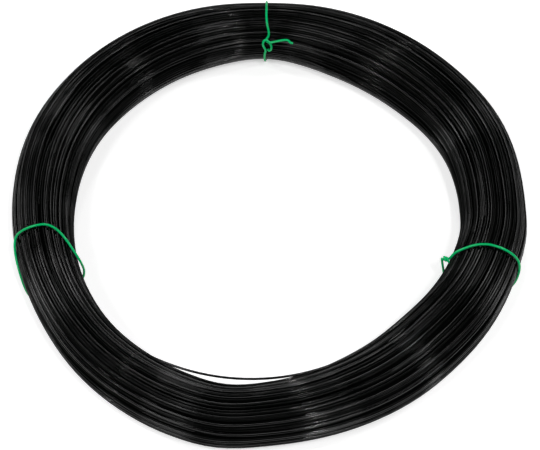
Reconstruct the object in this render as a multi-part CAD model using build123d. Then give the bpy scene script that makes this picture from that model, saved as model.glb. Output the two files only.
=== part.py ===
from build123d import *
import math
import os

# Coil of coated binding wire, lying flat as it is stored and sold: one wound bundle of turns
# with an open bore, held by three tie wires. Lengths are millimetres and angles are degrees.
# The origin is on the floor at the middle of the bore, +Z is the bore's axis, and -Y is the front.
# A place on the bundle is given by its turn angle round the bore, from +X, its section angle
# round the bundle, from outwards over the crown to the bore, and its reach from the bundle's middle.

# Bundle of turns
WIRE_D = 1.6  # one wire, over its coating
BORE_D = 257.0  # across the open bore
BUNDLE_D = 43.0  # across the round section of the bundle
BASE_W = 16.0  # flat ring that the settled bundle lies on
CROWN_TURNS = 9  # turns that show side by side on the upper end
BASE_TURNS = 1  # turns that show on each side of the flat ring, on the lower end
SIDE_GROUPS = 4  # groups of turns on each side, between the two ends
GROOVE_W = 2 * WIRE_D  # mouth of the groove between two groups
GROOVE_H = 2 * WIRE_D  # depth of the groove between two groups

# Turn that has sprung off the bundle at the front of the bore
LOOSE_TURN = 265.0  # turn angle at its middle
LOOSE_SPREAD = 17.0  # turn angle from its middle to where it leaves the bundle
LOOSE_SECTION = 150.0  # section angle of the side that it lies on
LOOSE_GAP = 2.6  # open space behind its middle
LOOSE_ROOT = 6.0  # turn angle that each end runs on inside the bundle

# Tie wires
TIE_D = 1.6  # one tie wire, over its coating
ROUND_FLATS = 6  # flats that make up the round of a tie or of the loose turn
TIE_GAP = 0.3  # between a tie and the turns that it holds
TIE_LIFT = 0.2  # between a tie and the floor, below the bundle
TIE_SWING = 2.8  # extra reach of the runs that turn under the bundle
NOTCH_ROOM = 1.5  # room over a tie in the notch that it bites into the base
CORNER_STEP = 45.0  # section angle between the corners of a tie's route
BEND_FLATS = 4  # straight lengths that make up each bend of a tie

BACK_TURN = 89.0  # turn angles of the three ties, where they cross the crown
RIGHT_TURN = 343.5
LEFT_TURN = 190.0
LEFT_SKEW = 12.0  # turn angle by which the left tie crosses the base further on
RIGHT_SKEW = 4.0  # turn angle by which the right tie crosses the base further back
LEFT_SLACK = 2.0  # slack of the left tie beside the bore
KNOT_SECTION = 150.0  # section angle of the back tie's knot
EYE_REACH = 5.8  # how far the right tie's twisted eye stands into the bore
EYE_UP = 8.8  # height of its twisted stub over the bundle's middle
STUB_RISE = 0.1  # rise of the stub between its eye and its end
STUB_END = 0.9  # from the bundle to the end of the stub
WRAP_START = 0.9  # from the bundle to the first wrap of the stub
WRAP_QUARTERS = 6  # quarter turns that one end is wound about the other
WRAP_STEP = 0.56  # from each quarter turn to the next, along the stub
WRAP_GAP = 0.35  # between the two wires of the stub

# Worked out from the sizes above
BUNDLE_R = BUNDLE_D / 2
MIDDLE_R = BORE_D / 2 + BUNDLE_R
MIDDLE_Z = math.sqrt(BUNDLE_R**2 - (BASE_W / 2) ** 2)
TIE_REACH = BUNDLE_R + TIE_GAP + TIE_D / 2
CORNER_REACH = TIE_REACH / math.cos(math.radians(CORNER_STEP / 2))
FLOOR_Z = TIE_LIFT + TIE_D / 2
NOTCH_H = TIE_LIFT + TIE_D + NOTCH_ROOM
LEFT_BASE_TURN = LEFT_TURN + LEFT_SKEW
RIGHT_BASE_TURN = RIGHT_TURN - RIGHT_SKEW


def on_section(section_angle, reach):
    """Point of the bundle's section, in the plane of +X and +Z."""
    angle = math.radians(section_angle)
    return Vector(MIDDLE_R + reach * math.cos(angle), 0, MIDDLE_Z + reach * math.sin(angle))


def on_bundle(turn_angle, section_angle, reach):
    """Point on or about the bundle, anywhere round the bore."""
    return on_section(section_angle, reach).rotate(Axis.Z, turn_angle)


def turn_row(start, end, turns):
    """Corners of a row of turns along the section: a groove, a crest, a groove and so on."""
    half_turn = (end - start) / (2 * turns)
    reaches = (BUNDLE_R, BUNDLE_R - WIRE_D / 2)
    return [on_section(start + i * half_turn, reaches[i % 2]) for i in range(2 * turns + 1)]


def grouped_side(start, end):
    """Corners of a side of the section: groups of turns, with a groove between each two."""
    step = (end - start) / SIDE_GROUPS
    half_mouth = math.degrees(GROOVE_W / 2 / BUNDLE_R)
    corners = []
    for i in range(1, SIDE_GROUPS):
        middle = start + i * step
        corners.append(on_section(middle - half_mouth, BUNDLE_R))
        corners.append(on_section(middle, BUNDLE_R - GROOVE_H))
        corners.append(on_section(middle + half_mouth, BUNDLE_R))
    return corners


def bundle():
    """The turned bundle: rows of turns on its two ends and grouped turns between, with its bore."""
    one_turn = math.degrees(WIRE_D / BUNDLE_R)
    base_edge = -math.degrees(math.acos(BASE_W / 2 / BUNDLE_R))
    base_row_end = base_edge + BASE_TURNS * one_turn
    crown_start = 90 - CROWN_TURNS * one_turn / 2
    corners = turn_row(base_edge, base_row_end, BASE_TURNS)
    corners += grouped_side(base_row_end, crown_start)
    corners += turn_row(crown_start, 180 - crown_start, CROWN_TURNS)
    corners += grouped_side(180 - crown_start, 180 - base_row_end)
    corners += turn_row(180 - base_row_end, 180 - base_edge, BASE_TURNS)
    section = make_face(Polyline(*corners, close=True).edges())
    return revolve(section, axis=Axis.Z)


def swept_wire(line, diameter):
    """A round wire along a line."""
    section = Plane(line @ 0, z_dir=line % 0) * RegularPolygon(diameter / 2, ROUND_FLATS)
    wire = sweep(section, path=line, transition=Transition.RIGHT)
    print("volume over section times length", round(wire.volume / (section.area * line.length), 4))
    return wire


def loose_turn():
    """The part of one turn that stands off the bundle, with its ends running on inside it."""
    root = LOOSE_SPREAD + LOOSE_ROOT
    stand_off = BUNDLE_R + LOOSE_GAP + WIRE_D / 2
    line = ThreePointArc(
        on_bundle(LOOSE_TURN - root, LOOSE_SECTION, BUNDLE_R - WIRE_D),
        on_bundle(LOOSE_TURN, LOOSE_SECTION, stand_off),
        on_bundle(LOOSE_TURN + root, LOOSE_SECTION, BUNDLE_R - WIRE_D),
    )
    return swept_wire(line, WIRE_D)


def tie_notch(turn_angle, wires):
    """Room that a tie takes out of the base, as wide as so many of its wires side by side."""
    width = wires * (TIE_D + TIE_GAP) + TIE_GAP
    notch = Pos(MIDDLE_R, 0, NOTCH_H / 2) * Box(BUNDLE_D, width, NOTCH_H)
    return Rot(Z=turn_angle) * notch


def wire_coil():
    """The bundle with its loose turn, and the notches that the ties bite into its base."""
    notches = tie_notch(BACK_TURN, 1) + tie_notch(RIGHT_BASE_TURN, 2) + tie_notch(LEFT_BASE_TURN, 4)
    return bundle() + loose_turn() - notches


def floor_corner(turn_angle, side):
    """Corner of a tie's route where it turns under the bundle: side is 1 outside and -1 inside."""
    drop = MIDDLE_Z - FLOOR_Z
    tangent = math.radians(CORNER_STEP)
    half_width = (TIE_REACH + TIE_SWING - drop * math.sin(tangent)) / math.cos(tangent)
    return on_floor(turn_angle, side * half_width)


def on_floor(turn_angle, outwards):
    """Point of a tie's route under the bundle, outwards from its middle."""
    return Vector(MIDDLE_R + outwards, 0, FLOOR_Z).rotate(Axis.Z, turn_angle)


def aside(turn_angle, distance):
    """Turn angle a short distance along the bundle."""
    return turn_angle + math.degrees(distance / MIDDLE_R)


def swept_tie(points):
    """A tie wire along its route, with every corner rounded between the middles of its two runs."""
    bends = points[1:-1]
    bend_ends = [(corner + after) * 0.5 for corner, after in zip(bends, bends[1:])] + [points[-1]]
    line = [points[0]]
    for corner, end in zip(bends, bend_ends):
        start = line[-1]
        for flat in range(1, BEND_FLATS + 1):
            share = flat / BEND_FLATS
            line.append(start * (1 - share) ** 2 + corner * (2 * share * (1 - share)) + end * share**2)
    return swept_wire(Polyline(*line), TIE_D)


def back_tie():
    """Tie at the back: its two ends are hooked together on the inner side of the crown."""

    def knot(along, up, lift):
        """Point of the knot: sizes in tie diameters, along to the right and up over the crown."""
        section_angle = KNOT_SECTION - math.degrees(up * TIE_D / TIE_REACH)
        return on_bundle(aside(BACK_TURN, -along * TIE_D), section_angle, TIE_REACH + lift * TIE_D)

    upper_hook = [
        knot(1.0, -3.6, 0),
        knot(1.0, -5.2, 0),
        knot(2.8, -5.2, 0),
        knot(3.2, -2.8, 0),
        knot(2.2, -0.6, 0),
        knot(-0.7, 0.5, 0),
        knot(1.8, 3.1, 0),
    ]
    lower_hook = [
        knot(-0.5, -6.6, 0.2),
        knot(0.0, -4.0, 0.2),
        knot(-1.8, -1.4, 0.8),
        knot(-1.4, 0.8, 1.1),
        knot(0.3, 1.4, 1.1),
        knot(1.7, -0.7, 1.1),
        knot(3.8, -0.7, 1.2),
        knot(10.9, 2.3, 1.2),
        knot(12.3, 0.7, 0.7),
        knot(13.6, 0.8, 0.4),
    ]
    round_bundle = [on_bundle(BACK_TURN, angle, CORNER_REACH) for angle in (112.5, 67.5, 22.5, -22.5)]
    round_bundle += [floor_corner(BACK_TURN, 1), floor_corner(BACK_TURN, -1)]
    round_bundle.append(on_bundle(BACK_TURN, -157.5, CORNER_REACH))
    return swept_tie(upper_hook + round_bundle + lower_hook)


def right_tie():
    """Tie on the right: it stands off the bundle in the bore, and one end is wound about the other."""

    def eye(inwards, up, along=0):
        """Point beside the bore: inwards from the bundle, up from its middle, along to the back."""
        return Vector(BORE_D / 2 - inwards, along, MIDDLE_Z + up).rotate(Axis.Z, RIGHT_BASE_TURN)

    wrap_r = TIE_D + WRAP_GAP
    wraps = []
    for quarter in range(WRAP_QUARTERS):
        angle = math.radians(45 - 90 * quarter)
        corner = wrap_r * math.sqrt(2)
        inwards = WRAP_START + quarter * WRAP_STEP
        wraps.append(eye(inwards, EYE_UP + corner * math.sin(angle), corner * math.cos(angle)))
    crown = []
    for skew_share, angle in ((0.75, 142), (0.2, 102), (0, 62), (0, 22.5), (0.6, -22.5)):
        crown.append(on_bundle(RIGHT_TURN - RIGHT_SKEW * skew_share, angle, CORNER_REACH))
    below = [floor_corner(RIGHT_BASE_TURN, 1), on_floor(RIGHT_BASE_TURN, -BUNDLE_R)]
    below.append(eye(EYE_REACH * 0.6, -BUNDLE_R / 3))
    stub = [eye(EYE_REACH, EYE_UP), eye(EYE_REACH / 2, EYE_UP + STUB_RISE), eye(STUB_END, EYE_UP)]
    return swept_tie(wraps[::-1] + crown + below + stub)


def left_tie():
    """Tie on the left: a skewed, slack loop whose ends lie side by side under the bundle."""
    half_pair = (TIE_D + TIE_GAP) / 2
    first = aside(LEFT_BASE_TURN, -half_pair)
    last = aside(LEFT_BASE_TURN, half_pair)
    route = [on_floor(first, -BASE_W / 4), floor_corner(first, 1)]
    route.append(on_bundle(LEFT_TURN + LEFT_SKEW * 0.9, -22.5, CORNER_REACH + LEFT_SLACK / 2))
    route.append(on_bundle(LEFT_TURN, 22.5, CORNER_REACH + LEFT_SLACK / 4))
    route += [on_bundle(LEFT_TURN, angle, CORNER_REACH) for angle in (67.5, 112.5)]
    route.append(on_bundle(LEFT_TURN + LEFT_SKEW * 0.85, 157.5, CORNER_REACH))
    route.append(on_bundle(LEFT_TURN + LEFT_SKEW * 0.95, -157.5, CORNER_REACH + LEFT_SLACK))
    route += [floor_corner(last, -1), on_floor(last, BASE_W / 4)]
    return swept_tie(route)


os.makedirs("parts", exist_ok=True)
for make_piece in (wire_coil, back_tie, left_tie, right_tie):
    export_step(make_piece(), f"parts/{make_piece.__name__}.step")
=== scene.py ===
"""Dresses the coil of coated binding wire: the turns of its bundle and the three green wires that tie it."""

import logging
import math
from abc import ABC, abstractmethod
from dataclasses import dataclass
from enum import Enum
from typing import NamedTuple

import bpy
import numpy as np
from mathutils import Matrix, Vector


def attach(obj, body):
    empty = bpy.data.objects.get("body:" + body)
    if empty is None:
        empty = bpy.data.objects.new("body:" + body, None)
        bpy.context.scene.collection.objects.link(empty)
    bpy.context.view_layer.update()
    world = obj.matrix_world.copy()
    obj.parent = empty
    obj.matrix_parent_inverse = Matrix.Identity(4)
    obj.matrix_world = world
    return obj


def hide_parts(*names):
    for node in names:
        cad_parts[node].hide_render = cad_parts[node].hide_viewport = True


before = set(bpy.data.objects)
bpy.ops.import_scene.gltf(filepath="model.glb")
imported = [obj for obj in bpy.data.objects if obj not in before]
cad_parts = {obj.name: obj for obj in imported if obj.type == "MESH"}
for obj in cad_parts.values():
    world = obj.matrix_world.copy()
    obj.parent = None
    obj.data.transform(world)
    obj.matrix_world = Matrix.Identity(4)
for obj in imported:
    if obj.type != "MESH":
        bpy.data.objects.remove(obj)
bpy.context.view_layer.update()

LOG = logging.getLogger("wire_coil")
BODY = "root"
MM = 0.001
TONE = "turn_tone"
# Share of a stretch of wire that keeps one tone, before it changes over to the next
TONE_HELD = 0.85
# More points than any path has, which gives a wire one tone
ONE_TONE = 1_000_000
# Turn angle of the back tie, which bites into the bundle
BACK_TURN = 89.0


class Slot(Enum):
    """Material slots of the record."""

    BLACK_WIRE = "black_wire"
    GREEN_TIE = "green_tie"


class CadNode(Enum):
    """Solids of the frame that the dressed pieces stand for."""

    COIL = "wire_coil"
    BACK_TIE = "back_tie"
    LEFT_TIE = "left_tie"
    RIGHT_TIE = "right_tie"


# Shape of the ring


class RingSize(NamedTuple):
    """The ring's size at one turn angle."""

    turn: float
    radius: float
    half_width: float


@dataclass(frozen=True)
class RingShape:
    """The hand-wound ring: a little out of round, pinched by its ties and spread between them.

    Lengths are millimetres. A turn angle runs round the bore from +X, and a section angle runs round the
    bundle, from outwards over the crown to the bore. Both are degrees.
    """

    sizes: tuple[RingSize, ...] = (
        RingSize(0, 153, 22),
        RingSize(20, 153.3, 24.3),
        RingSize(45, 149, 26.6),
        RingSize(65, 148, 25.8),
        RingSize(90, 150, 22),
        RingSize(105, 150, 22.6),
        RingSize(135, 150, 24.8),
        RingSize(155, 149.7, 24),
        RingSize(180, 147.6, 21.2),
        RingSize(195, 147.6, 19.2),
        RingSize(210, 148.7, 18.3),
        RingSize(225, 151, 18.9),
        RingSize(240, 152.7, 20.7),
        RingSize(249, 153.8, 21.6),
        RingSize(259, 154.7, 20.3),
        RingSize(272, 150.8, 19.5),
        RingSize(287, 147.8, 22.5),
        RingSize(302, 146.5, 23.5),
        RingSize(315, 146.1, 24.9),
        RingSize(330, 148.8, 23.2),
        RingSize(343, 151.4, 21.7),
        RingSize(352, 153.4, 22.6),
    )
    even_width: float = 21.5
    even_height: float = 20.8
    height_share: float = 0.25
    middle_z: float = 19.96

    def read(self, values: list[float], turn: np.ndarray | float) -> np.ndarray:
        """Reads one row of the ring's sizes smoothly at any turn angle.

        Args:
            values: The row, with one value for each of the sizes.
            turn: Turn angle or angles.

        Returns:
            The row's value at each turn angle.
        """
        wrap = 3
        at = np.array([size.turn for size in self.sizes], float)
        row = np.array(values, float)
        at = np.concatenate([at[-wrap:] - 360, at, at[:wrap] + 360])
        row = np.concatenate([row[-wrap:], row, row[:wrap]])
        slope = np.gradient(row, at)
        turn = np.mod(turn, 360.0)
        left = np.searchsorted(at, turn, side="right") - 1
        span = at[left + 1] - at[left]
        s = (turn - at[left]) / span
        return (
            (2 * s**3 - 3 * s**2 + 1) * row[left]
            + (s**3 - 2 * s**2 + s) * span * slope[left]
            + (3 * s**2 - 2 * s**3) * row[left + 1]
            + (s**3 - s**2) * span * slope[left + 1]
        )

    def radius(self, turn: np.ndarray | float) -> np.ndarray:
        """Distance from the bore's axis to the bundle's middle."""
        return self.read([size.radius for size in self.sizes], turn)

    def half_width(self, turn: np.ndarray | float) -> np.ndarray:
        """Half of the bundle's width."""
        return self.read([size.half_width for size in self.sizes], turn)

    def half_height(self, turn: np.ndarray | float) -> np.ndarray:
        """Half of the bundle's height before it settles on the floor."""
        return self.even_height + self.height_share * (self.half_width(turn) - self.even_width)

    def reach(self, turn: float, section: float) -> float:
        """Distance from the bundle's middle to its surface.

        Args:
            turn: Turn angle.
            section: Section angle.

        Returns:
            The distance in millimetres.
        """
        wide, high = self.half_width(turn), self.half_height(turn)
        angle = math.radians(section)
        return float(wide * high / math.hypot(high * math.cos(angle), wide * math.sin(angle)))

    def place(
        self, turn: np.ndarray | float, outwards: np.ndarray | float, up: np.ndarray | float
    ) -> np.ndarray:
        """Turns places in the bundle's section into points of the frame.

        Args:
            turn: Turn angles.
            outwards: Distances outwards from the bundle's middle.
            up: Distances up from the bundle's middle.

        Returns:
            Points in metres, along the last axis.
        """
        angle = np.radians(turn)
        distance = self.radius(turn) + outwards
        across = (distance * np.cos(angle), distance * np.sin(angle))
        return np.stack(np.broadcast_arrays(*across, self.middle_z + up), axis=-1) * MM


# Finishes


class Links:
    """Short helper that adds nodes to a tree and joins their sockets."""

    def __init__(self, tree: bpy.types.NodeTree) -> None:
        """Keeps the tree and empties it."""
        self.tree = tree
        tree.nodes.clear()

    def node(self, kind: str, **settings: object) -> bpy.types.Node:
        """Adds a node and sets its properties.

        Args:
            kind: Blender's name of the node type.
            **settings: Properties of the node.

        Returns:
            The new node.
        """
        new = self.tree.nodes.new(kind)
        for name, value in settings.items():
            setattr(new, name, value)
        return new

    def join(self, source: bpy.types.NodeSocket, target: bpy.types.NodeSocket) -> None:
        """Joins an output to an input."""
        self.tree.links.new(source, target)

    def math(self, operation: str, first: object, second: object) -> bpy.types.NodeSocket:
        """Adds a calculation with two values.

        Args:
            operation: Blender's name of the operation.
            first: A socket or a number.
            second: A socket or a number.

        Returns:
            The result's socket.
        """
        calculation = self.node("ShaderNodeMath", operation=operation)
        for socket, value in zip(calculation.inputs, (first, second)):
            if isinstance(value, bpy.types.NodeSocket):
                self.join(value, socket)
            else:
                socket.default_value = value
        return calculation.outputs[0]

    def noise(self, place: bpy.types.NodeSocket, scale: float, detail: float) -> bpy.types.NodeSocket:
        """Adds a noise pattern.

        Args:
            place: Coordinates that it follows.
            scale: Its cells in a metre.
            detail: Finer steps in each cell.

        Returns:
            The pattern's socket.
        """
        pattern = self.node("ShaderNodeTexNoise")
        pattern.inputs["Scale"].default_value = scale
        pattern.inputs["Detail"].default_value = detail
        self.join(place, pattern.inputs["Vector"])
        return pattern.outputs["Fac"]


@dataclass(frozen=True)
class ExtrudedCoating:
    """How a coating pressed on a wire varies: worn patches, scuffs and a fine ripple.

    Scales are cells in a metre. The wear runs from least_wear, all gloss, to most_wear, all scuffed.
    """

    patch_scale: float = 25.0
    patch_detail: float = 4.0
    scuff_scale: float = 60.0
    scuff_detail: float = 2.0
    ripple_scale: float = 120.0
    ripple_detail: float = 2.0
    tone_share: float = 0.6
    least_wear: float = 0.3
    most_wear: float = 0.7

    def group(self) -> bpy.types.NodeTree:
        """Builds the shader group that every coating shares.

        Returns:
            The node group, which gives a colour, a roughness, a shine and a height.
        """
        group = bpy.data.node_groups.new("extruded_coating", "ShaderNodeTree")
        for name, kind in (
            ("Colour", "NodeSocketColor"),
            ("Worn Colour", "NodeSocketColor"),
            ("Gloss Roughness", "NodeSocketFloat"),
            ("Scuff Roughness", "NodeSocketFloat"),
            ("Gloss Shine", "NodeSocketFloat"),
            ("Scuff Shine", "NodeSocketFloat"),
            ("Tone", "NodeSocketFloat"),
        ):
            group.interface.new_socket(name, in_out="INPUT", socket_type=kind)
        for name, kind in (
            ("Colour", "NodeSocketColor"),
            ("Roughness", "NodeSocketFloat"),
            ("Shine", "NodeSocketFloat"),
            ("Height", "NodeSocketFloat"),
        ):
            group.interface.new_socket(name, in_out="OUTPUT", socket_type=kind)

        links = Links(group)
        given = links.node("NodeGroupInput")
        result = links.node("NodeGroupOutput")
        place = links.node("ShaderNodeTexCoord").outputs["Object"]

        patches = links.noise(place, self.patch_scale, self.patch_detail)
        scuffs = links.noise(place, self.scuff_scale, self.scuff_detail)
        wear = links.math("MULTIPLY", patches, scuffs)
        wear = links.math("ADD", wear, links.math("MULTIPLY", given.outputs["Tone"], self.tone_share))
        worn = links.node("ShaderNodeMapRange")
        worn.inputs["From Min"].default_value = self.least_wear
        worn.inputs["From Max"].default_value = self.most_wear
        links.join(wear, worn.inputs["Value"])

        colour = links.node("ShaderNodeMix", data_type="RGBA")
        links.join(worn.outputs["Result"], colour.inputs["Factor"])
        links.join(given.outputs["Colour"], colour.inputs["A"])
        links.join(given.outputs["Worn Colour"], colour.inputs["B"])
        links.join(colour.outputs["Result"], result.inputs["Colour"])

        for name in ("Roughness", "Shine"):
            level = links.node("ShaderNodeMix", data_type="FLOAT")
            links.join(worn.outputs["Result"], level.inputs["Factor"])
            links.join(given.outputs["Gloss " + name], level.inputs["A"])
            links.join(given.outputs["Scuff " + name], level.inputs["B"])
            links.join(level.outputs["Result"], result.inputs[name])

        ripple = links.noise(place, self.ripple_scale, self.ripple_detail)
        links.join(ripple, result.inputs["Height"])
        return group


@dataclass(frozen=True)
class CoatingFinish:
    """Glossy plastic coating of a wire.

    All of its shine is in the coat, which keeps the wire dark where it is seen edge on. The ripple's depth is
    millimetres.
    """

    name: str
    colour: tuple[float, float, float]
    worn_colour: tuple[float, float, float]
    gloss_roughness: float
    scuff_roughness: float
    ripple: float
    coat_roughness: float
    gloss_shine: float
    scuff_shine: float
    base_shine: float = 0.0
    refraction: float = 1.5
    ripple_depth: float = 0.1

    def material(self, coating: bpy.types.NodeTree) -> bpy.types.Material:
        """Builds the finish's material.

        Args:
            coating: The shared coating group.

        Returns:
            The material.
        """
        made = bpy.data.materials.new(self.name)
        made.use_nodes = True
        links = Links(made.node_tree)
        out = links.node("ShaderNodeOutputMaterial")
        shader = links.node("ShaderNodeBsdfPrincipled")
        shader.inputs["IOR"].default_value = self.refraction
        shader.inputs["Specular IOR Level"].default_value = self.base_shine
        shader.inputs["Coat Roughness"].default_value = self.coat_roughness
        surface = links.node("ShaderNodeGroup", node_tree=coating)
        surface.inputs["Colour"].default_value = (*self.colour, 1)
        surface.inputs["Worn Colour"].default_value = (*self.worn_colour, 1)
        surface.inputs["Gloss Roughness"].default_value = self.gloss_roughness
        surface.inputs["Scuff Roughness"].default_value = self.scuff_roughness
        surface.inputs["Gloss Shine"].default_value = self.gloss_shine
        surface.inputs["Scuff Shine"].default_value = self.scuff_shine
        tone = links.node("ShaderNodeAttribute", attribute_name=TONE)
        links.join(tone.outputs["Fac"], surface.inputs["Tone"])
        bump = links.node("ShaderNodeBump")
        bump.inputs["Strength"].default_value = self.ripple
        bump.inputs["Distance"].default_value = self.ripple_depth * MM
        links.join(surface.outputs["Height"], bump.inputs["Height"])
        links.join(surface.outputs["Colour"], shader.inputs["Base Color"])
        links.join(surface.outputs["Roughness"], shader.inputs["Roughness"])
        links.join(surface.outputs["Shine"], shader.inputs["Coat Weight"])
        links.join(bump.outputs["Normal"], shader.inputs["Normal"])
        links.join(shader.outputs["BSDF"], out.inputs["Surface"])
        return made


BLACK_COATING = CoatingFinish(
    name="black_wire_coating",
    colour=(0.0005, 0.0006, 0.00055),
    worn_colour=(0.0014, 0.0017, 0.0015),
    gloss_roughness=0.08,
    scuff_roughness=0.14,
    ripple=0.02,
    coat_roughness=0.08,
    gloss_shine=0.7,
    scuff_shine=0.1,
)
GREEN_COATING = CoatingFinish(
    name="green_tie_coating",
    colour=(0.0, 0.47, 0.13),
    worn_colour=(0.0, 0.58, 0.19),
    gloss_roughness=0.2,
    scuff_roughness=0.34,
    ripple=0.1,
    coat_roughness=0.2,
    gloss_shine=0.55,
    scuff_shine=0.2,
)


# Wire along a path


class WireTube:
    """Geometry Nodes tree that lays a round coated wire along a path of points."""

    def __init__(self) -> None:
        """Builds the tree once, for every wire."""
        self.tree = bpy.data.node_groups.new("wire_along_path", "GeometryNodeTree")
        self.sockets: dict[str, str] = {}
        for name, kind in (
            ("Path", "NodeSocketGeometry"),
            ("Wire Diameter", "NodeSocketFloat"),
            ("Flats", "NodeSocketInt"),
            ("Points per Tone", "NodeSocketInt"),
            ("Tone Seed", "NodeSocketInt"),
            ("Coating", "NodeSocketMaterial"),
        ):
            socket = self.tree.interface.new_socket(name, in_out="INPUT", socket_type=kind)
            self.sockets[name] = socket.identifier
        self.tree.interface.new_socket("Wire", in_out="OUTPUT", socket_type="NodeSocketGeometry")
        self._fill()

    def _fill(self) -> None:
        """Adds the nodes: path to curve, tone of each stretch, round profile, smooth shading and finish."""
        links = Links(self.tree)
        given = links.node("NodeGroupInput")
        result = links.node("NodeGroupOutput")

        curve = links.node("GeometryNodeMeshToCurve")
        links.join(given.outputs["Path"], curve.inputs["Mesh"])

        index = links.node("GeometryNodeInputIndex").outputs["Index"]
        along = links.math("DIVIDE", index, given.outputs["Points per Tone"])
        stretch = links.math("FLOOR", along, 0.0)
        ease = links.node("ShaderNodeMapRange", interpolation_type="SMOOTHSTEP")
        ease.inputs["From Min"].default_value = TONE_HELD
        links.join(links.math("SUBTRACT", along, stretch), ease.inputs["Value"])
        tone = links.node("ShaderNodeMix", data_type="FLOAT")
        links.join(ease.outputs["Result"], tone.inputs["Factor"])
        for end, step in (("A", 0.0), ("B", 1.0)):
            drawn = links.node("FunctionNodeRandomValue", data_type="FLOAT")
            links.join(links.math("ADD", stretch, step), drawn.inputs["ID"])
            links.join(given.outputs["Tone Seed"], drawn.inputs["Seed"])
            links.join(drawn.outputs["Value"], tone.inputs[end])
        toned = links.node("GeometryNodeStoreNamedAttribute", data_type="FLOAT", domain="POINT")
        toned.inputs["Name"].default_value = TONE
        links.join(curve.outputs["Curve"], toned.inputs["Geometry"])
        links.join(tone.outputs["Result"], toned.inputs["Value"])

        round_profile = links.node("GeometryNodeCurvePrimitiveCircle", mode="RADIUS")
        links.join(given.outputs["Flats"], round_profile.inputs["Resolution"])
        radius = links.math("MULTIPLY", given.outputs["Wire Diameter"], 0.5)
        links.join(radius, round_profile.inputs["Radius"])

        tube = links.node("GeometryNodeCurveToMesh")
        tube.inputs["Fill Caps"].default_value = True
        links.join(toned.outputs["Geometry"], tube.inputs["Curve"])
        links.join(round_profile.outputs["Curve"], tube.inputs["Profile Curve"])

        smooth = links.node("GeometryNodeSetShadeSmooth")
        links.join(tube.outputs["Mesh"], smooth.inputs["Geometry"])
        whole = links.node("GeometryNodeRealizeInstances")
        links.join(smooth.outputs["Geometry"], whole.inputs["Geometry"])
        dressed = links.node("GeometryNodeSetMaterial")
        links.join(whole.outputs["Geometry"], dressed.inputs["Geometry"])
        links.join(given.outputs["Coating"], dressed.inputs["Material"])
        links.join(dressed.outputs["Geometry"], result.inputs["Wire"])

    def lay(
        self,
        name: str,
        points: np.ndarray,
        closed: bool,
        diameter: float,
        flats: int,
        coating: bpy.types.Material,
        points_per_tone: int = ONE_TONE,
        tone_seed: int = 1,
    ) -> bpy.types.Object:
        """Lays a wire along points and turns it into a plain mesh.

        Args:
            name: Name of the piece.
            points: Points of the path, in metres.
            closed: Whether the last point joins the first.
            diameter: Wire's diameter, in metres.
            flats: Flats that make up the wire's round.
            coating: The wire's finish.
            points_per_tone: Points of the path from one tone to the next.
            tone_seed: Seed of the tones.

        Returns:
            The piece, at the origin.
        """
        count = len(points)
        edges = [(i, i + 1) for i in range(count - 1)]
        if closed:
            edges.append((count - 1, 0))
        path = bpy.data.meshes.new(name + "_path")
        path.from_pydata(points.tolist(), edges, [])
        piece = bpy.data.objects.new(name, path)
        bpy.context.scene.collection.objects.link(piece)
        nodes = piece.modifiers.new("wire", "NODES")
        nodes.node_group = self.tree
        nodes[self.sockets["Wire Diameter"]] = diameter
        nodes[self.sockets["Flats"]] = flats
        nodes[self.sockets["Points per Tone"]] = points_per_tone
        nodes[self.sockets["Tone Seed"]] = tone_seed
        nodes[self.sockets["Coating"]] = coating
        shown = piece.evaluated_get(bpy.context.evaluated_depsgraph_get())
        solid = bpy.data.meshes.new_from_object(shown)
        piece.modifiers.remove(nodes)
        piece.data = solid
        solid.name = name
        bpy.data.meshes.remove(path)
        return piece


# Bundle of turns


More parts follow.
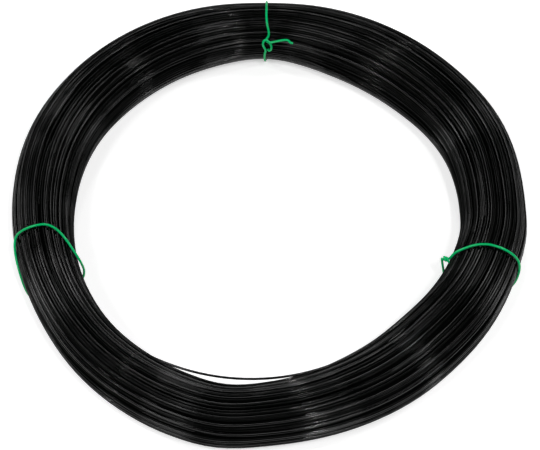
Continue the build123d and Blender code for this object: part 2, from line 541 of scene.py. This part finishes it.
@dataclass
class WoundBundle:
    """The bundle: each layer is one wire wound round and round, settled against its neighbours.

    Lengths are millimetres, angles are degrees and spreads of smoothing are stations along a wire.
    """

    ring: RingShape
    wire: float = 1.6
    turns_in_layer: tuple[int, ...] = (57, 58, 58)
    layer_names: tuple[str, ...] = ("surface_turns", "second_turns", "third_turns")
    layer_step: float = 1.6
    stations: int = 144
    flats: int = 8
    seed: int = 7
    tone_points: int = 131
    wander_along: float = 1.1
    wander_deep: float = 0.4
    wander_reach: float = 24.0
    neighbour_reach: float = 26.0
    rounds: int = 110
    early_share: float = 0.6
    early_spread: float = 3.0
    late_spread: float = 1.8
    push_gain: float = 2.0
    round_spread: float = 0.7
    last_spread: float = 2.5
    least_distance: float = 1e-9
    tie_turns: tuple[float, ...] = (BACK_TURN, 202.0, 339.5)
    tie_room: float = 2.2
    tie_room_reach: float = 4.0
    bite_turn: float = BACK_TURN
    bite: float = 2.6
    bite_reach: float = 7.0
    loose_turn: float = 265.0
    loose_section: float = 150.0
    loose_reach: float = 40.0
    loose_radius: float = 133.0
    loose_lean: float = -0.13
    loose_up: float = 11.0
    shell_area_over_pi: float = 200.0
    core_push: float = 0.3
    core_nearest: float = 0.2
    deep_ribs: int = 60
    rib_share: float = 0.35

    def __post_init__(self) -> None:
        """Reads the ring once at every station round the coil."""
        self.turn_angles = np.arange(self.stations) * 360.0 / self.stations
        self.wide = self.ring.half_width(self.turn_angles)
        self.high = self.ring.half_height(self.turn_angles)
        self.core = np.sqrt(self.wide**2 - self.shell_area_over_pi)
        self.core_high = self.core * self.high / self.wide
        floor = np.zeros(self.stations)
        for tie in self.tie_turns:
            floor = np.maximum(floor, self.tie_room * self.bell(tie, self.tie_room_reach))
        self.lowest = floor + self.wire / 2 - self.ring.middle_z
        self.room = self.wire / 2 + self.bite * self.bell(self.bite_turn, self.bite_reach)
        self.edges = np.cumsum((0,) + self.turns_in_layer)

    def away_from(self, turn: float) -> np.ndarray:
        """Degrees from a turn angle to each station, the short way round."""
        return (self.turn_angles - turn + 180) % 360 - 180

    def bell(self, turn: float, reach: float) -> np.ndarray:
        """Smooth rise to one at a turn angle, within about its reach in degrees."""
        return np.exp(-((self.away_from(turn) / reach) ** 2))

    def section_angle(self, turn: np.ndarray, layer: int) -> np.ndarray:
        """Section angle, in radians, of evenly wound turns. Each layer starts part of a turn on."""
        return 2 * np.pi * (turn + layer / len(self.turns_in_layer)) / self.turns_in_layer[layer]

    def by_station(self, path: np.ndarray) -> np.ndarray:
        """Cuts the path of a layer's wire into its turns."""
        return path.reshape(-1, self.stations, 2).transpose(1, 0, 2)

    def paths(self, lay: np.ndarray, layer: int) -> np.ndarray:
        """Strings the turns of one layer together into the path of its wire."""
        turns = lay[:, self.edges[layer] : self.edges[layer + 1]]
        return turns.transpose(1, 0, 2).reshape(-1, 2)

    @staticmethod
    def smoothed(path: np.ndarray, reach: float) -> np.ndarray:
        """Smooths values along a closed path.

        Args:
            path: Values at each point, along the first axis.
            reach: Spread of the smoothing, in points.

        Returns:
            The smoothed values.
        """
        wave = 2 * np.pi * np.fft.rfftfreq(len(path))
        keep = np.exp(-0.5 * (wave * reach) ** 2)
        keep = keep.reshape(-1, *[1] * (path.ndim - 1))
        return np.fft.irfft(np.fft.rfft(path, axis=0) * keep, len(path), axis=0)

    def softened(self, lay: np.ndarray, reach: float) -> np.ndarray:
        """Smooths values along every layer's wire.

        Args:
            lay: Values by station, turn and direction.
            reach: Spread of the smoothing, in stations.

        Returns:
            The smoothed values, in the same order.
        """
        out = np.empty_like(lay)
        for layer in range(len(self.turns_in_layer)):
            part = self.by_station(self.smoothed(self.paths(lay, layer), reach))
            out[:, self.edges[layer] : self.edges[layer + 1]] = part
        return out

    def wander(self, rng: np.random.Generator, count: int) -> np.ndarray:
        """Slow random drift along a closed path of so many points, with a spread of one."""
        drift = self.smoothed(rng.standard_normal(count), self.wander_reach)
        return drift / drift.std()

    def starting_lay(self) -> np.ndarray:
        """Winds each layer evenly round the bundle, each turn one wire on, and lets it wander.

        Returns:
            Places in the section, by station, turn and direction.
        """
        rng = np.random.default_rng(self.seed)
        layers = []
        for layer, count in enumerate(self.turns_in_layer):
            depth = self.wire / 2 + layer * self.layer_step
            step = np.arange(count * self.stations)
            station = step % self.stations
            angle = self.section_angle(step / self.stations, layer)
            angle += self.wander_along * self.wander(rng, len(step)) / self.ring.even_width
            deep = self.wander_deep * self.wander(rng, len(step)) - depth
            outwards = (self.wide[station] + deep) * np.cos(angle)
            up = (self.high[station] + deep) * np.sin(angle)
            layers.append(self.by_station(np.stack([outwards, up], axis=-1)))
        return np.concatenate(layers, axis=1)

    def neighbours(self) -> tuple[np.ndarray, np.ndarray]:
        """Pairs of turns that can come to touch.

        Returns:
            The first and the second turn of each pair.
        """
        angles = []
        for layer, count in enumerate(self.turns_in_layer):
            angles.append(self.section_angle(np.arange(count) + 0.5, layer))
        angle = np.concatenate(angles)
        apart = np.abs(np.angle(np.exp(1j * (angle[:, None] - angle[None, :]))))
        return np.nonzero(np.triu(apart < math.radians(self.neighbour_reach), 1))

    @staticmethod
    def oval_share(lay: np.ndarray, wide: np.ndarray, high: np.ndarray) -> np.ndarray:
        """How far out places lie, as a share of an oval with a half width and half height at each station."""
        return np.hypot(lay[..., 0] / wide[:, None], lay[..., 1] / high[:, None])

    def held(self, lay: np.ndarray) -> np.ndarray:
        """Keeps the turns inside the bundle's outline, outside its core and above the floor and the ties.

        Args:
            lay: Places in the section, by station, turn and direction.

        Returns:
            The places, moved where they have to be.
        """
        out = self.oval_share(lay, self.wide - self.room, self.high - self.room)
        lay = lay / np.maximum(1, out)[..., None]
        deep = self.oval_share(lay, self.core, self.core_high)
        sunk = np.maximum(0, 1 / np.maximum(deep, self.core_nearest) - 1)
        lay = lay * (1 + self.core_push * sunk)[..., None]
        lay[..., 1] = np.maximum(lay[..., 1], self.lowest[:, None])
        return lay

    def settled(self) -> np.ndarray:
        """Pushes turns that lie in each other apart, a little at a time, so that they pass over and under.

        Returns:
            Places in the section, by station, turn and direction.
        """
        lay = self.starting_lay()
        first, second = self.neighbours()
        total = lay.shape[1]
        row = np.arange(self.stations)[:, None] * total
        first_place, second_place = (row + first).ravel(), (row + second).ravel()
        for step in range(self.rounds):
            apart = lay[:, first] - lay[:, second]
            distance = np.sqrt((apart**2).sum(-1)) + self.least_distance
            overlap = np.maximum(0, self.wire - distance)
            push = apart * (overlap / 2 / distance)[..., None]
            moved = np.empty((self.stations * total, 2))
            for axis in (0, 1):
                share = push[..., axis].ravel()
                moved[:, axis] = np.bincount(first_place, share, len(moved))
                moved[:, axis] -= np.bincount(second_place, share, len(moved))
            spread = self.early_spread if step < self.early_share * self.rounds else self.late_spread
            lay = lay + self.push_gain * self.softened(moved.reshape(lay.shape), spread)
            lay = self.softened(self.held(lay), self.round_spread)
        return self.softened(lay, self.last_spread)

    def sprung(self, lay: np.ndarray) -> np.ndarray:
        """Springs one surface turn off the bundle at the front of the bore.

        Args:
            lay: Places in the section, by station, turn and direction.

        Returns:
            The places, with the one turn moved.
        """
        section = math.radians(self.loose_section)
        station = int(round(self.loose_turn * self.stations / 360)) % self.stations
        surface = lay[station, : self.turns_in_layer[0]]
        turn = int(np.argmax(surface @ np.array([math.cos(section), math.sin(section)])))
        away = self.away_from(self.loose_turn)
        ease = np.clip(2 * (1 - np.abs(away) / self.loose_reach), 0, 1)
        share = ease * ease * (3 - 2 * ease)
        outwards = self.loose_radius + self.loose_lean * away - self.ring.radius(self.turn_angles)
        target = np.stack([outwards, np.full(self.stations, self.loose_up)], axis=-1)
        lay[:, turn] += share[:, None] * (target - lay[:, turn])
        return lay

    def build(self, tube: WireTube, coating: bpy.types.Material) -> list[bpy.types.Object]:
        """Builds the layers of turns and the deep turns behind them.

        Args:
            tube: Geometry Nodes tree that lays a wire.
            coating: The wire's finish.

        Returns:
            The pieces, from the surface inwards.
        """
        lay = self.sprung(self.settled())
        pieces = []
        for layer, (count, name) in enumerate(zip(self.turns_in_layer, self.layer_names)):
            path = self.paths(lay, layer)
            turn = np.tile(self.turn_angles, count)
            points = self.ring.place(turn, path[:, 0], path[:, 1])
            piece = tube.lay(
                name,
                points,
                closed=True,
                diameter=self.wire * MM,
                flats=self.flats,
                coating=coating,
                points_per_tone=self.tone_points,
                tone_seed=self.seed + layer,
            )
            pieces.append(piece)
        pieces.append(self.deep_turns(coating))
        return pieces

    def deep_turns(self, coating: bpy.types.Material) -> bpy.types.Object:
        """Builds the ribbed ring of turns that lie too deep to be told apart.

        Args:
            coating: The wire's finish.

        Returns:
            The piece.
        """
        count = 2 * self.deep_ribs
        angle = 2 * np.pi * np.arange(count) / count
        rib = np.where(np.arange(count) % 2, 0.0, self.rib_share * self.wire)
        outwards = (self.core[:, None] - rib) * np.cos(angle)
        up = self.core_high[:, None] * np.sin(angle) - rib * np.sin(angle)
        up = np.maximum(up, self.lowest[:, None])
        points = self.ring.place(self.turn_angles[:, None], outwards, up).reshape(-1, 3)
        index = np.arange(len(points)).reshape(self.stations, count)
        ahead, beside = np.roll(index, -1, axis=0), np.roll(index, -1, axis=1)
        both = np.roll(ahead, -1, axis=1)
        faces = np.stack([index, ahead, both, beside], axis=-1).reshape(-1, 4)
        solid = bpy.data.meshes.new("deep_turns")
        solid.from_pydata(points.tolist(), [], faces.tolist())
        solid.materials.append(coating)
        piece = bpy.data.objects.new("deep_turns", solid)
        bpy.context.scene.collection.objects.link(piece)
        return piece


# Tie wires


class Bend(NamedTuple):
    """A bend of a tie: its share of the tie's skew, its section angle and its distance off the bundle."""

    skew_share: float
    section: float
    lift: float = 0.0


@dataclass
class TieWire(ABC):
    """A green tie wire round the bundle. Lengths are millimetres and angles are degrees."""

    ring: RingShape
    name: str
    node: CadNode
    turn: float
    diameter: float = 1.6
    gap: float = 0.3
    floor_z: float = 1.0
    swing: float = 2.8
    inner_swing: float = 0.8
    corner_step: float = 45.0
    skew: float = 0.0
    bends: tuple[Bend, ...] = ()
    flats: int = 12
    smoothness: int = 10
    line_order: int = 3

    @abstractmethod
    def route(self) -> list[np.ndarray]:
        """Control points of the tie's line, in metres, from one end to the other."""

    @property
    def base_turn(self) -> float:
        """Turn angle at which the tie crosses under the bundle."""
        return self.turn + self.skew

    def seat(self, turn: float, section: float) -> float:
        """Distance from the bundle's middle to the line of a tie that lies on it."""
        return self.ring.reach(turn, section) + self.gap + self.diameter / 2

    def beside(self, turn: float, section: float, lift: float = 0.0) -> np.ndarray:
        """Point of the tie's line on the bundle.

        Args:
            turn: Turn angle.
            section: Section angle.
            lift: Distance off the bundle, over the tie's own seat.

        Returns:
            The point in metres.
        """
        reach = self.seat(turn, section) + lift
        angle = math.radians(section)
        return self.ring.place(turn, reach * math.cos(angle), reach * math.sin(angle))

    def corner(self, turn: float, section: float, lift: float = 0.0) -> np.ndarray:
        """Control point that pulls the line round the bundle, clear of it.

        Args:
            turn: Turn angle.
            section: Section angle.
            lift: Further distance off the bundle.

        Returns:
            The point in metres.
        """
        pull = 1 / math.cos(math.radians(self.corner_step / 2)) - 1
        return self.beside(turn, section, lift + self.seat(turn, section) * pull)

    def bent(self, bend: Bend) -> np.ndarray:
        """Control point of a bend of the skewed tie."""
        return self.corner(self.turn + self.skew * bend.skew_share, bend.section, bend.lift)

    def floor_corner(self, turn: float, side: int) -> np.ndarray:
        """Control point where the tie turns under the bundle.

        Args:
            turn: Turn angle.
            side: 1 outside the bundle and -1 in its bore.

        Returns:
            The point in metres.
        """
        drop = self.ring.middle_z - self.floor_z
        tangent = math.radians(self.corner_step)
        seat = self.seat(turn, -self.corner_step)
        swing = self.swing if side > 0 else self.inner_swing
        half_width = (seat + swing - drop * math.sin(tangent)) / math.cos(tangent)
        return self.on_floor(turn, side * half_width)

    def on_floor(self, turn: float, outwards: float) -> np.ndarray:
        """Control point under the bundle.

        Args:
            turn: Turn angle.
            outwards: Distance outwards from the bundle's middle.

        Returns:
            The point in metres.
        """
        return self.ring.place(turn, outwards, self.floor_z - self.ring.middle_z)

    def aside(self, turn: float, distance: float) -> float:
        """Turn angle a short distance along the bundle."""
        return turn + math.degrees(distance / float(self.ring.radius(turn)))

    def line(self) -> np.ndarray:
        """Reads the smooth line that the route's points control.

        Returns:
            Points along the line, in metres.
        """
        route = self.route()
        curve = bpy.data.curves.new(self.name + "_line", "CURVE")
        curve.dimensions = "3D"
        curve.resolution_u = self.smoothness
        spline = curve.splines.new("NURBS")
        spline.points.add(len(route) - 1)
        for control, point in zip(spline.points, route):
            control.co = (*point, 1.0)
        spline.order_u = self.line_order
        spline.use_endpoint_u = True
        holder = bpy.data.objects.new(self.name + "_line", curve)
        bpy.context.scene.collection.objects.link(holder)
        shown = holder.evaluated_get(bpy.context.evaluated_depsgraph_get())
        read = bpy.data.meshes.new_from_object(shown)
        points = np.array([v.co for v in read.vertices])
        bpy.data.objects.remove(holder)
        bpy.data.curves.remove(curve)
        bpy.data.meshes.remove(read)
        return points

    def build(self, tube: WireTube, coating: bpy.types.Material) -> bpy.types.Object:
        """Builds the tie.

        Args:
            tube: Geometry Nodes tree that lays a wire.
            coating: The tie's finish.

        Returns:
            The piece.
        """
        return tube.lay(
            self.name,
            self.line(),
            closed=False,
            diameter=self.diameter * MM,
            flats=self.flats,
            coating=coating,
        )


@dataclass
class BackTie(TieWire):
    """Tie at the back, with its two ends hooked together on the inner side of the crown."""

    name: str = "back_tie_wire"
    node: CadNode = CadNode.BACK_TIE
    turn: float = BACK_TURN
    gap: float = -1.7
    swing: float = 0.8
    inner_swing: float = 0.2
    bends: tuple[Bend, ...] = (Bend(0, 112.5), Bend(0, 67.5), Bend(0, 22.5), Bend(0, -22.5))
    bore_section: float = -157.5
    bore_shift: float = 1.2
    knot_section: float = 150.0

    def knot(self, along: float, up: float, lift: float) -> np.ndarray:
        """Control point of the knot.

        Args:
            along: Tie diameters to the right.
            up: Tie diameters up towards the crown.
            lift: Tie diameters off the bundle.

        Returns:
            The point in metres.
        """
        seat = self.seat(self.turn, self.knot_section)
        section = self.knot_section - math.degrees(up * self.diameter / seat)
        return self.beside(self.aside(self.turn, -along * self.diameter), section, lift * self.diameter)

    def route(self) -> list[np.ndarray]:
        """Lists the upper hook, the way round the bundle and the lower hook with its long tail.

        Returns:
            The control points in metres.
        """
        upper = [
            (0.9, -3.7, 0),
            (1.1, -4.4, 0),
            (2.2, -4.3, 0),
            (2.8, -2.7, 0),
            (2.2, -0.6, 0),
            (-0.7, 0.5, 0),
            (1.8, 3.1, 0),
        ]
        lower = [
            (-0.9, -6.6, 0.2),
            (0.0, -4.0, 0.2),
            (-1.8, -1.4, 0.8),
            (-1.4, 0.8, 1.1),
            (0.3, 1.4, 1.1),
            (1.7, 0.0, 1.1),
            (3.6, 0.5, 1.2),
            (10.9, 2.3, 1.2),
            (12.3, 0.7, 0.7),
            (13.6, 0.8, 0.4),
        ]
        points = [self.knot(*place) for place in upper]
        points += [self.bent(bend) for bend in self.bends]
        points += [self.floor_corner(self.turn, 1), self.floor_corner(self.turn, -1)]
        points.append(self.corner(self.aside(self.turn, self.bore_shift), self.bore_section))
        points += [self.knot(*place) for place in lower]
        return points


@dataclass
class RightTie(TieWire):
    """Tie on the right, standing off the bundle in the bore, with its two ends twisted together."""

    name: str = "right_tie_wire"
    node: CadNode = CadNode.RIGHT_TIE
    turn: float = 343.5
    skew: float = -5.0
    bends: tuple[Bend, ...] = (
        Bend(0.6, 142),
        Bend(0.05, 102),
        Bend(0.0, 62),
        Bend(0.0, 22.5, 0.1),
        Bend(0.35, -22.5, 0.1),
    )
    floor_share: float = 0.5
    eye_reach: float = 4.8
    eye_up: float = 9.5
    foot_share: float = 0.3
    foot_part: float = 3.0
    twist_start: float = -0.6
    twist_quarters: int = 5
    twist_step: float = 0.95
    twist_gap: float = 0.3
    twist_bulge: float = 1.38
    twist_phase: float = 45.0

    def eye(self, inwards: float, up: float, along: float = 0.0) -> np.ndarray:
        """Control point beside the bore.

        Args:
            inwards: Distance into the bore from the bundle.
            up: Height over the bundle's middle.
            along: Distance to the back.

        Returns:
            The point in metres.
        """
        outwards = -float(self.ring.half_width(self.base_turn)) - inwards
        angle = math.radians(self.base_turn)
        to_back = np.array([-math.sin(angle), math.cos(angle), 0.0]) * along * MM
        return self.ring.place(self.base_turn, outwards, up) + to_back

    def twisted(self, phase: float) -> list[np.ndarray]:
        """Control points of one of the two twisted ends, from the bore back to the bundle.

        Args:
            phase: Angle round the twist at which the end meets the bundle.

        Returns:
            The points in metres.
        """
        reach = (self.diameter + self.twist_gap) / 2 * self.twist_bulge
        points = []
        for quarter in reversed(range(self.twist_quarters)):
            angle = math.radians(phase - 90 * quarter)
            inwards = self.twist_start + quarter * self.twist_step
            points.append(self.eye(inwards, self.eye_up + reach * math.sin(angle), reach * math.cos(angle)))
        return points

    def route(self) -> list[np.ndarray]:
        """Lists one twisted end, the way over the crown and under the bundle, and the eye with the other end.

        Returns:
            The control points in metres.
        """
        half_width = float(self.ring.half_width(self.base_turn))
        points = self.twisted(self.twist_phase)
        points += [self.bent(bend) for bend in self.bends]
        points.append(self.floor_corner(self.turn + self.skew * self.floor_share, 1))
        points.append(self.on_floor(self.base_turn, -half_width))
        points.append(self.eye(self.eye_reach * self.foot_share, -half_width / self.foot_part))
        points.append(self.eye(self.eye_reach, self.eye_up))
        return points + self.twisted(self.twist_phase + 180)


@dataclass
class LeftTie(TieWire):
    """Tie on the left: a skewed, slack loop whose ends lie side by side under the bundle."""

    name: str = "left_tie_wire"
    node: CadNode = CadNode.LEFT_TIE
    turn: float = 190.0
    skew: float = 12.0
    bends: tuple[Bend, ...] = (
        Bend(0.9, -22.5, -0.2),
        Bend(0.0, 22.5),
        Bend(0.0, 67.5),
        Bend(0.0, 112.5),
        Bend(0.85, 157.5),
        Bend(0.95, -157.5, 2.0),
    )
    end_reach: float = 4.0

    def route(self) -> list[np.ndarray]:
        """Lists one end under the bundle, the way round the outside and over the crown, and the other end.

        Returns:
            The control points in metres.
        """
        half_pair = (self.diameter + self.gap) / 2
        first = self.aside(self.base_turn, -half_pair)
        last = self.aside(self.base_turn, half_pair)
        points = [self.on_floor(first, -self.end_reach), self.floor_corner(first, 1)]
        points += [self.bent(bend) for bend in self.bends]
        points += [self.floor_corner(last, -1), self.on_floor(last, self.end_reach)]
        return points


# Studio


@dataclass(frozen=True)
class Lamp:
    """A softbox that points at the coil: where it hangs, its size and its light."""

    name: str
    place: tuple[float, float, float]
    size: tuple[float, float]
    watts: float


@dataclass
class Studio:
    """Pale floor, softboxes and the camera."""

    floor_size: float = 40.0
    floor_colour: tuple[float, float, float] = (0.93, 0.93, 0.93)
    floor_roughness: float = 0.9
    floor_shine: float = 0.1
    floor_glow: float = 0.5
    room_light: float = 0.08
    lamps: tuple[Lamp, ...] = (
        Lamp("front_left_softbox", (-0.85, -0.90, 1.80), (0.45, 0.45), 8.0),
        Lamp("front_right_softbox", (0.60, -1.05, 1.80), (0.45, 0.45), 7.0),
        Lamp("right_softbox", (1.54, 0.40, 1.50), (0.45, 0.45), 9.0),
        Lamp("left_softbox", (-1.54, 0.40, 1.50), (0.45, 0.45), 9.5),
        Lamp("back_softbox", (0.0, 1.15, 1.87), (0.3, 0.3), 3.5),
        Lamp("front_spot", (0.43, -0.86, 2.0), (0.06, 0.06), 5.0),
        Lamp("left_spot", (-1.2, -0.44, 1.79), (0.06, 0.06), 4.0),
        Lamp("right_spot", (1.3, -0.41, 1.69), (0.15, 0.15), 3.5),
    )
    camera_place: tuple[float, float, float] = (0.0, -0.5589, 0.9089)
    camera_aim: tuple[float, float, float] = (0.00395, -0.01395, 0.01996)
    focal_pixels: float = 1567.0
    photo_width: int = 540
    sensor_width: float = 36.0

    def lay_floor(self) -> None:
        """Lays the pale floor that the coil lies on."""
        half = self.floor_size / 2
        sheet = bpy.data.meshes.new("floor")
        corners = [(-half, -half, 0), (half, -half, 0), (half, half, 0), (-half, half, 0)]
        sheet.from_pydata(corners, [], [(0, 1, 2, 3)])
        sheet.materials.append(self.floor_finish())
        floor = bpy.data.objects.new("floor", sheet)
        bpy.context.scene.collection.objects.link(floor)

    def floor_finish(self) -> bpy.types.Material:
        """Builds the pale floor's material, which glows a little where it is seen or mirrored.

        Returns:
            The material.
        """
        finish = bpy.data.materials.new("pale_floor")
        finish.use_nodes = True
        links = Links(finish.node_tree)
        out = links.node("ShaderNodeOutputMaterial")
        shader = links.node("ShaderNodeBsdfPrincipled")
        shader.inputs["Base Color"].default_value = (*self.floor_colour, 1)
        shader.inputs["Roughness"].default_value = self.floor_roughness
        shader.inputs["Specular IOR Level"].default_value = self.floor_shine
        ray = links.node("ShaderNodeLightPath").outputs
        seen = links.math("MAXIMUM", ray["Is Camera Ray"], ray["Is Glossy Ray"])
        seen = links.math("MAXIMUM", seen, ray["Is Transmission Ray"])
        glow = links.node("ShaderNodeEmission")
        links.join(links.math("MULTIPLY", seen, self.floor_glow), glow.inputs["Strength"])
        both = links.node("ShaderNodeAddShader")
        links.join(shader.outputs["BSDF"], both.inputs[0])
        links.join(glow.outputs["Emission"], both.inputs[1])
        links.join(both.outputs["Shader"], out.inputs["Surface"])
        return finish

    def hang_lamps(self) -> None:
        """Hangs the softboxes and gives the room a little even light."""
        for lamp in self.lamps:
            light = bpy.data.lights.new(lamp.name, "AREA")
            light.shape = "RECTANGLE"
            light.size, light.size_y = lamp.size
            light.energy = lamp.watts
            holder = bpy.data.objects.new(lamp.name, light)
            holder.location = lamp.place
            holder.rotation_euler = (-Vector(lamp.place)).to_track_quat("-Z", "Y").to_euler()
            bpy.context.scene.collection.objects.link(holder)
        world = bpy.data.worlds.new("pale_room")
        bpy.context.scene.world = world
        world.use_nodes = True
        links = Links(world.node_tree)
        out = links.node("ShaderNodeOutputWorld")
        room = links.node("ShaderNodeBackground")
        room.inputs["Color"].default_value = (1, 1, 1, 1)
        room.inputs["Strength"].default_value = self.room_light
        links.join(room.outputs["Background"], out.inputs["Surface"])

    def set_camera(self) -> None:
        """Sets the camera at the photograph's viewing angle."""
        camera = bpy.data.cameras.new("camera")
        camera.sensor_fit = "HORIZONTAL"
        camera.sensor_width = self.sensor_width
        camera.lens = self.focal_pixels / self.photo_width * camera.sensor_width
        holder = bpy.data.objects.new("camera", camera)
        holder.location = self.camera_place
        look = Vector(self.camera_aim) - Vector(self.camera_place)
        holder.rotation_euler = look.to_track_quat("-Z", "Y").to_euler()
        bpy.context.scene.collection.objects.link(holder)
        bpy.context.scene.camera = holder
        bpy.context.scene.view_settings.view_transform = "Standard"


def dress(piece: bpy.types.Object, node: CadNode) -> None:
    """Joins a piece to the frame.

    Args:
        piece: The piece.
        node: Solid that it stands for.
    """
    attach(piece, BODY)
    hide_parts(node.value)
    LOG.info("%s stands for %s, %d faces", piece.name, node.value, len(piece.data.polygons))


def main() -> None:
    """Builds the bundle, its ties and the studio, in that order."""
    logging.basicConfig(level=logging.INFO, format="%(name)s: %(message)s")
    ring = RingShape()
    tube = WireTube()
    coating = ExtrudedCoating().group()
    black = BLACK_COATING.material(coating)
    green = GREEN_COATING.material(coating)
    for piece in WoundBundle(ring).build(tube, black):
        dress(piece, CadNode.COIL)
    for tie in (BackTie(ring), LeftTie(ring), RightTie(ring)):
        dress(tie.build(tube, green), tie.node)
    studio = Studio()
    studio.lay_floor()
    studio.hang_lamps()
    studio.set_camera()


if __name__ == "__main__":
    main()
